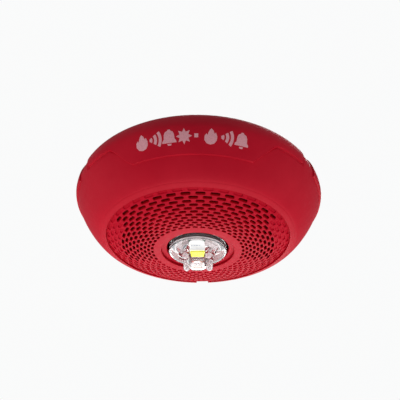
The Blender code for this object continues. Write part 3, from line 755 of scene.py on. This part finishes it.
def lens_shade_ring(rubber):
    """Painted shade: a black band inside the lens flange, behind the reflector's rim, that darkens the gap
    round the lens.
    """
    inner, outer = LENS_R - LENS_WALL - 0.45, LENS_R - LENS_WALL - 0.1
    high, low = LENS_RIM_Z - 0.3, REFLECTOR_Z - 0.1
    profile = [(inner, high), (outer, high), (outer, low + 0.2), (inner + 0.15, low), (inner, low)]
    return place(turned("lens_shade_ring", profile, rubber), "device", "black_rubber")


def reflector(silver, glint):
    """Silvered disc with a raised rim, a window for the LED and two pin holes; a small raised white patch
    beside each hole is a painted highlight.
    """
    back, rim_z = REFLECTOR_Z + 1.0, REFLECTOR_Z - 0.12
    rim = rounded([(15.9, back), (15.9, REFLECTOR_Z), (16.7, rim_z), (17.6, rim_z), (17.8, back)], 0.15, 2)
    plate = turned("reflector_plate", rim + [(17.8, back)], silver, 128)
    disc = turned("disc", [(16.0, REFLECTOR_Z), (16.0, back)], silver, 128, closed=False)
    join(plate, disc)
    window_x = LED_HALF_X + 0.3
    cut(plate, (-window_x, APRON_Y - 0.3, REFLECTOR_Z - 1), (window_x, LED_HALF_Y + 0.3, -48.5), 0.9)
    for x in (-14.0, 14.0):
        bore(plate, x, -0.5, 1.15, REFLECTOR_Z - 1, REFLECTOR_Z + 2, 24, silver)
    place(plate, "device", "reflector_metal", "reflector_disc")
    # Painted highlights: raised white patches beside the pin holes.
    for name, x in (("highlight_left", -15.7), ("highlight_right", 15.7)):
        rings = [soft_rectangle(half, half * 1.2, REFLECTOR_Z + rise, 2.4, 32, (x, 0.0))
                 for half, rise in ((1.5, 0.1), (1.4, -0.1), (1.0, -0.25))]
        highlight_patch = stacked(name, rings, glint)
        place(highlight_patch, "device", "white_plastic")


def led(white, yellow, marks):
    """White holder with a round-cornered apron, the emitter on it, and faint marks on the apron."""
    back, corner = -48.9, 4.6
    ring = []
    for i in range(13):
        turn = math.radians(180.0 * i / 12)
        x = -LED_HALF_X + corner * (1 - math.cos(turn)) if turn < math.pi / 2 else \
            LED_HALF_X - corner * (1 + math.cos(turn))
        ring.append((x, APRON_Y + corner * (1 - math.sin(turn))))
    ring += [(LED_HALF_X, LED_HALF_Y), (-LED_HALF_X, LED_HALF_Y)]
    apron = stacked("led_apron", [[(x, y, z) for x, y in ring] for z in (back, REFLECTOR_Z - 0.15)], white,
                    30.0)
    bevelled(apron, 0.25)
    sizes = ((1.0, back), (1.0, LED_FACE_Z + 0.35), (0.98, LED_FACE_Z + 0.1), (0.94, LED_FACE_Z))
    block = [soft_rectangle(LED_HALF_X * s, LED_HALF_Y * s, z, 7.0) for s, z in sizes]
    join(apron, stacked("block", block, white, 30.0))
    place(apron, "device", "white_plastic", "led_holder")
    sizes = ((1.0, 0.35), (1.0, 0.95), (0.97, 1.1), (0.9, 1.15))
    die = [soft_rectangle(DIE_HALF_X * s, DIE_HALF_Y * s, LED_FACE_Z - out, 9.0) for s, out in sizes]
    place(stacked("led_die", die, yellow, 30.0), "device", "led_phosphor", "led_emitter")
    bm = bmesh.new()
    for x, length in ((-3.6, 0.8), (-2.0, 0.9), (-0.2, 1.2), (1.7, 0.7)):
        box = bmesh.ops.create_cube(bm, size=1.0)["verts"]
        bmesh.ops.scale(bm, verts=box, vec=Vector((length, 0.9, 0.12)) * MM)
        bmesh.ops.translate(bm, verts=box, vec=Vector((x, -7.6, REFLECTOR_Z - 0.2)) * MM)
    bmesh.ops.bevel(bm, geom=list(bm.edges), offset=0.03 * MM, segments=1, affect="EDGES")
    place(finished("led_marks", bm, marks), "device", "black_plastic")


# ---------------------------------------------------------------- mounting plate and rear cover
def backplate(white):
    """Moulded plate against the ceiling: ribs, a lipped wire entry, recessed fixing slots, pin holes."""
    (_, _, under), (edge, _, top) = span("mounting_plate")
    field = top - 0.5
    profile = [(1.0, field), (24.0, field), (24.5, top), (26.5, top), (27.0, field), (48.0, field),
               (48.5, top), (50.5, top), (51.0, field), (68.0, field), (68.5, top), (edge - 0.6, top),
               (edge, field), (edge, under + 0.6), (edge - 0.6, under), (71.5, under), (71.1, under + 0.35),
               (68.9, under + 0.35), (68.5, under), (1.0, under)]
    plate = turned("ceiling_plate", profile, white, 160, smooth_angle=30.0, closed=False)
    for i in range(12):
        turn = math.radians(30 * i + 15)
        c, s = math.cos(turn), math.sin(turn)
        corners = ((50.0, -0.8), (69.0, -0.8), (69.0, 0.8), (50.0, 0.8))
        join(plate, stacked("rib", [[(r * c - w * s, r * s + w * c, z) for r, w in corners]
                                    for z in (top - 0.8, top - 0.02)], white))
    slots = [(x, y) for x in (-FIXING_OFFSET, FIXING_OFFSET) for y in (-FIXING_OFFSET, FIXING_OFFSET)]
    for centre in slots:
        join(plate, stacked("pad", [soft_rectangle(11.0, 6.5, z, 4.0, 48, centre)
                                    for z in (top - 0.9, top - 0.04)], white))
    low, high = top - 0.9, top - 0.06
    lip = [(19.0, low), (22.0, low), (22.0, high), (19.0, high)]
    join(plate, turned("lip", lip, white, 72, WIRE_ENTRY, 30.0))
    mouth = [(20.0, under - 2), (20.0, under + 0.4), (19.8, under + 0.6), (19.8, top - 0.5),
             (20.4, top + 0.1), (20.4, top + 2)]
    join(plate, turned("mouth", mouth, white, 72, WIRE_ENTRY, closed=False), "DIFFERENCE")
    for x, y in slots:
        cut(plate, (x - 7, y - 2.5, under - 4), (x + 7, y + 2.5, top + 4), 2.4, 6)
        cut(plate, (x - 8.6, y - 4.2, under - 4), (x + 8.6, y + 4.2, under + 0.7), 1.6, 4)
    for x, y in ((0.0, -60.0), (-52.0, 0.0), (52.0, 0.0)):
        bore(plate, x, y, 1.6, under - 2, top + 2, 24, white)
    flat_faced(plate)
    return place(plate, "mount_base", "plate_plastic", "mounting_plate")


def ribs_between(name, inner, outer, low, high, count, start, half, material):
    """Closed radial ribs in one mesh, each drafted towards its top."""
    vertices, faces = [], []
    for i in range(count):
        turn = math.radians(start + 360.0 * i / count)
        c, s = math.cos(turn), math.sin(turn)
        at = len(vertices)
        for z, w in ((low, half), (high, half * 0.7)):
            vertices += [(r * c - v * s, r * s + v * c, z)
                         for r, v in ((inner, -w), (outer, -w), (outer, w), (inner, w))]
        faces += [tuple(at + k for k in face) for face in
                  ((3, 2, 1, 0), (4, 5, 6, 7), (0, 1, 5, 4), (1, 2, 6, 5), (2, 3, 7, 6), (3, 0, 4, 7))]
    return mesh_object(name, vertices, faces, material)


def service_cover(white, ink):
    """Moulded cover behind the electronics: drafted ribs, framed selectors, plain scale marks."""
    (_, _, under), (edge, _, top) = span("rear_cover")
    profile = [(1.0, top), (60.6, top), (60.9, top + 0.6), (62.1, top + 0.6), (62.4, top), (73.6, top),
               (73.9, top + 0.8), (75.3, top + 0.8), (75.6, top), (edge - 0.4, top), (edge, top - 0.4),
               (edge, under), (1.0, under)]
    cover = turned("service_cover", profile, white, 160, smooth_angle=30.0, closed=False)
    join(cover, ribs_between("ribs", 61.5, 74.6, top - 0.3, top + 0.5, 24, 7.5, 0.55, white))
    tone = centre_of("tone_selector")
    knob = centre_of("candela_selector")
    slot_x, slot_y = knob[0] + 0.5 * SELECTOR_TRAVEL, knob[1]
    frame_profile = [(6.0, top - 0.4), (7.4, top - 0.4), (7.2, top + 0.5), (6.2, top + 0.5)]
    join(cover, turned("frame", frame_profile, white, 64, tone))
    for half_x, half_y, low, high, way in ((11.4, 5.0, top - 0.4, top + 0.5, "UNION"),
                                           (10.2, 3.8, top, top + 1.0, "DIFFERENCE")):
        join(cover, stacked("frame", [soft_rectangle(half_x, half_y, z, 6.0, 64, (slot_x, slot_y))
                                      for z in (low, high)], white), way)
    holes = [(tone, 4.9, 48), (centre_of("locking_screw"), 2.5, 32)]
    holes += [(centre_of(f"assembly_screw_{i}"), 1.9, 24) for i in (1, 2, 3)]
    holes += [(centre_of(f"contact_pin_{i}"), 1.5, 24) for i in (1, 2, 3, 4)]
    for (x, y), radius, segments in holes:
        bore(cover, x, y, radius, under - 2, top + 2, segments, white)
    cut(cover, (slot_x - 8.3, slot_y - 1.9, under - 2), (slot_x + 8.3, slot_y + 1.9, top + 2), 0.4)
    flat_faced(cover)
    place(cover, "device", "white_plastic", "rear_cover")

    shapes = []
    for i in range(11):
        turn = math.radians(30.0 * i)
        c, s = math.cos(turn), math.sin(turn)
        reach = 10.6 if i % 2 == 0 else 9.6
        shapes.append([(tone[0] + r * c - w * s, tone[1] + r * s + w * c)
                       for r, w in ((8.2, -0.25), (reach, -0.25), (reach, 0.25), (8.2, 0.25))])
    for i in range(4):
        x, low, high = knob[0] + SELECTOR_TRAVEL * i / 3, slot_y + 5.8, slot_y + 7.4 + 0.8 * i
        shapes.append([(x - 0.3, low), (x + 0.3, low), (x + 0.3, high), (x - 0.3, high)])
    _, _, burst, waves = pictograms()
    for (x, y), figure in (((tone[0], tone[1] - 15.0), waves), ((slot_x, slot_y - 11.0), burst)):
        shapes += [[(x + px * 7.0, y + py * 7.0) for px, py in outline] for outline in figure]
    cover_marks = inked("cover_marks", shapes, ink, lambda x, y: (x, y, top + 0.05))
    return place(cover_marks, "device", "white_plastic")


# ---------------------------------------------------------------- print
def mirrored(half):
    """A closed outline from its right half, listed from top to bottom."""
    return half + [(-x, y) for x, y in half[::-1]]


def pictograms():
    """Outlines one unit high, centred on the origin: flame, bell, flash burst and sound waves."""
    flame = [(0.02, 0.5), (0.17, 0.34), (0.22, 0.16), (0.3, 0.25), (0.4, 0.0), (0.38, -0.24), (0.24, -0.43),
             (0.0, -0.5), (-0.24, -0.44), (-0.39, -0.24), (-0.38, 0.02), (-0.26, 0.16), (-0.2, 0.06),
             (-0.15, 0.24), (-0.08, 0.38)]
    bell = mirrored([(0.07, 0.5), (0.1, 0.42), (0.24, 0.35), (0.32, 0.18), (0.34, -0.1), (0.45, -0.24),
                     (0.45, -0.34)])
    clapper = mirrored([(0.14, -0.39), (0.09, -0.5)])
    burst = []
    for i in range(16):
        reach, turn = (0.5, 0.29)[i % 2], math.radians(22.5 * i)
        burst.append((reach * math.sin(turn), reach * math.cos(turn)))
    waves = []
    for radius in (0.3, 0.6, 0.9):
        turn = np.radians(np.linspace(-33, 33, 12))
        outer = [(radius * math.cos(a) - 0.45, radius * math.sin(a)) for a in turn]
        inner = [((radius - 0.19) * math.cos(a) - 0.45, (radius - 0.19) * math.sin(a)) for a in turn[::-1]]
        waves.append(outer + inner)
    return [flame], [bell, clapper], [burst], waves


def front_print(ink):
    """A band of generic pictograms: four, a dot and three more."""
    side = bowl_side()
    middle_z, height = -19.4, 9.9
    flame, bell, burst, waves = pictograms()
    dot = mirrored([(0.12, 0.14), (0.12, -0.1)])
    row = ((-31.4, flame), (-22.7, waves), (-13.6, bell), (-4.4, burst), (3.0, [dot]),
           (11.8, flame), (21.6, waves), (31.2, bell))
    shapes = [[(x0 + x * height, y * height) for x, y in outline]
              for x0, figure in row for outline in figure]
    radius_mid = WIDE_R - 2.0

    def on_skirt(x, y):
        return bowl_point(math.degrees(x / radius_mid), middle_z + y * 0.93, side, SKIRT_RISE + 0.05)

    return place(inked("front_print", shapes, ink, on_skirt, 3), "device", "white_plastic")


# ---------------------------------------------------------------- stage, light, camera
def add_area(name, location, size, energy):
    """A square soft box facing the unit."""
    light = bpy.data.lights.new(name, "AREA")
    light.energy = energy
    light.shape = "SQUARE"
    light.size = size
    obj = in_scene(name, light)
    obj.location = location
    obj.rotation_euler = (LIT_POINT - Vector(location)).to_track_quat("-Z", "Y").to_euler()
    return obj


def studio():
    """Pale floor and backdrop, a dim world behind them for the other rays, and five soft boxes."""
    world = bpy.data.worlds.new("studio")
    bpy.context.scene.world = world
    world.use_nodes = True
    tree = world.node_tree
    background = tree.nodes["Background"]
    path = tree.nodes.new("ShaderNodeLightPath")
    seen = tree.nodes.new("ShaderNodeBackground")
    seen.inputs["Color"].default_value = (0.955, 0.96, 0.96, 1.0)
    background.inputs["Color"].default_value = (0.9, 0.93, 1.0, 1.0)
    background.inputs["Strength"].default_value = 0.3
    mix = tree.nodes.new("ShaderNodeMixShader")
    through = tree.nodes.new("ShaderNodeMath")
    through.operation = "MAXIMUM"
    link = tree.links.new
    link(path.outputs["Is Camera Ray"], through.inputs[0])
    link(path.outputs["Is Transmission Ray"], through.inputs[1])
    link(through.outputs[0], mix.inputs[0])
    link(background.outputs[0], mix.inputs[1])
    link(seen.outputs[0], mix.inputs[2])
    link(mix.outputs[0], tree.nodes["World Output"].inputs["Surface"])

    n = Nodes("floor_paper")
    lit = n.ramp(n.noise(6.0), ((0.3, (0.8, 0.8, 0.8)), (0.7, (0.84, 0.84, 0.84))))
    n.set(Base_Color=lit, Roughness=0.8)
    paper = n.tree.nodes.new("ShaderNodeEmission")
    shown = n.ramp(n.noise(3.0), ((0.3, (0.8, 0.805, 0.805)), (0.7, (0.84, 0.845, 0.845))))
    n.link(shown, paper.inputs["Color"])
    seen = n.tree.nodes.new("ShaderNodeLightPath").outputs["Is Camera Ray"]
    blend = n.tree.nodes.new("ShaderNodeMixShader")
    n.link(seen, blend.inputs[0])
    n.link(n.shader.outputs[0], blend.inputs[1])
    n.link(paper.outputs[0], blend.inputs[2])
    n.link(blend.outputs[0], n.tree.nodes["Material Output"].inputs["Surface"])
    half, drop = 6.0, -1.1
    mesh = bpy.data.meshes.new("floor")
    corners = [(-half, -half, drop), (half, -half, drop), (half, half, drop), (-half, half, drop)]
    mesh.from_pydata(corners, [], [(0, 1, 2, 3)])
    mesh.materials.append(n.material)
    in_scene("floor", mesh)

    # The side boxes light the flanks without a sheen on them
    for name, x, energy in (("softbox_left", -0.95, 4.2), ("softbox_right", 0.95, 3.5)):
        add_area(name, (x, -0.1, -0.45), 0.8, energy).visible_glossy = False
    add_area("fill_below", (0.0, 0.0, -1.0), 0.9, 1.5)
    add_area("low_behind", (0.0, 0.86, -0.5), 0.8, 6.2)
    add_area("high_behind", (0.2, 0.75, 0.85), 0.7, 6.0)


def camera():
    """The photograph's view, from in front and below."""
    e, side = math.radians(ELEVATION), math.radians(SIDEWAYS)
    back = Vector((math.cos(e) * math.sin(side), -math.cos(e) * math.cos(side), -math.sin(e)))
    data = bpy.data.cameras.new("camera")
    data.lens = LENS_MM
    data.sensor_width = 36.0
    data.shift_x, data.shift_y = SHIFT_X, SHIFT_Y
    data.clip_start, data.clip_end = 0.01, 20.0
    roll = Matrix.Rotation(math.radians(ROLL), 3, "Z")
    rotation = (-back).to_track_quat("-Z", "Y").to_matrix() @ roll
    obj = in_scene("camera", data)
    obj.matrix_world = Matrix.Translation(TARGET + back * DISTANCE) @ rotation.to_4x4()
    bpy.context.scene.camera = obj


# ---------------------------------------------------------------- everything
red_shell = moulded_plastic("red_housing", (0.6, 0.001, 0.018), (0.62, 0.01, 0.03), (0.46, 0.56), 1900.0,
                            0.00012, shine=0.2, clouds=0.94)
red_panel = moulded_plastic("red_grille", (0.6, 0.002, 0.02), (0.64, 0.016, 0.03), (0.52, 0.62), shine=0.1,
                            clouds=0.94)
# Painted shade: a darker red for the walls of the open slots, where shade falls.
painted_slot_shade = moulded_plastic("slot_walls_painted_shade", (0.44, 0.0, 0.003), (0.46, 0.004, 0.008), (0.6, 0.75), shine=0.05)
# Painted shade: a still darker red for the step riser and the aperture wall round the lens.
painted_step_shade = moulded_plastic("step_wall_painted_shade", (0.33, 0.0, 0.005), (0.36, 0.004, 0.01), (0.6, 0.75), shine=0.04)
clear = clear_plastic("clear_lens")
frosted = frosted_plastic("frosted_lens")
silver = stippled_silver("reflector_metal")
white = moulded_plastic("white_plastic", (0.78, 0.78, 0.76), (0.9, 0.9, 0.88), (0.34, 0.48))
plate_white = moulded_plastic("plate_plastic", (0.76, 0.76, 0.74), (0.86, 0.86, 0.83), (0.4, 0.55),
                              clouds=0.95)
black = moulded_plastic("black_plastic", (0.02, 0.02, 0.022), (0.08, 0.08, 0.08), (0.4, 0.6))
rubber = moulded_plastic("black_rubber", (0.012, 0.012, 0.012), (0.05, 0.05, 0.05), (0.7, 0.9))
steel = metal("zinc_steel", (0.62, 0.62, 0.6), (0.4, 0.39, 0.37), (0.25, 0.4))
brass = metal("brass_plate", (0.72, 0.52, 0.24), (0.45, 0.3, 0.14), (0.25, 0.42))
gold = metal("gold_contact", (0.86, 0.64, 0.28), (0.6, 0.42, 0.18), (0.15, 0.3))
board = circuit("circuit_board")
yellow = phosphor("led_phosphor")
ink = screen_print("front_ink")
cloth = woven("screen_fabric", (0.15, 0.001, 0.002))
ribbon = moulded_plastic("ribbon_grey", (0.36, 0.36, 0.38), (0.6, 0.6, 0.6), (0.35, 0.5))
sleeve = moulded_plastic("capacitor_sleeve", (0.03, 0.04, 0.16), (0.1, 0.12, 0.3), (0.2, 0.35))
ferrite = moulded_plastic("ferrite", (0.1, 0.1, 0.1), (0.2, 0.2, 0.19), (0.55, 0.75), 900.0)
lead_red = moulded_plastic("lead_red", (0.55, 0.01, 0.01), (0.7, 0.1, 0.08), (0.3, 0.45))
lead_black = moulded_plastic("lead_black", (0.015, 0.015, 0.015), (0.06, 0.06, 0.06), (0.3, 0.45))
# The LED holder's white carries painted light: a faint emission that brightens it under the lens.
led_white = moulded_plastic("led_white", (0.97, 0.97, 0.96), (1.0, 1.0, 1.0), (0.25, 0.38), clouds=0.97,
                            glow=0.22)
cover_white = moulded_plastic("cover_plastic", (0.8, 0.8, 0.79), (0.9, 0.9, 0.88), (0.42, 0.55),
                              clouds=0.95)
cover_ink = moulded_plastic("cover_ink", (0.09, 0.09, 0.1), (0.3, 0.3, 0.3), (0.45, 0.6))
marks = moulded_plastic("led_marks", (0.12, 0.15, 0.3), (0.3, 0.3, 0.4), (0.5, 0.6))

MATERIALS = {
    "red_housing": red_shell, "red_grille": red_panel, "clear_lens": clear, "reflector_metal": silver,
    "white_plastic": white, "plate_plastic": plate_white, "black_plastic": black, "black_rubber": rubber,
    "zinc_steel": steel, "brass_plate": brass, "gold_contact": gold, "circuit_board": board,
    "led_phosphor": yellow, "screen_fabric": cloth, "ribbon_grey": ribbon, "capacitor_sleeve": sleeve,
    "ferrite": ferrite, "wire_red": lead_red, "wire_black": lead_black,
}

# Each CAD node takes its material slot's look; the finer pieces made below stand in for some of them
for part in frame["record"]["subparts"]:
    node = frame["nodes"][part["node"]]
    material = MATERIALS.get(part["material_slot"])
    if material:
        node.data.materials.clear()
        node.data.materials.append(material)

bpy.context.scene.view_settings.view_transform = "Standard"
camera()
studio()
housing(red_shell)
grille(red_panel, painted_slot_shade, painted_step_shade)
lens(clear, frosted)
lens_shade_ring(rubber)
reflector(silver, white)
led(led_white, yellow, marks)
backplate(plate_white)
service_cover(cover_white, cover_ink)
front_print(ink)
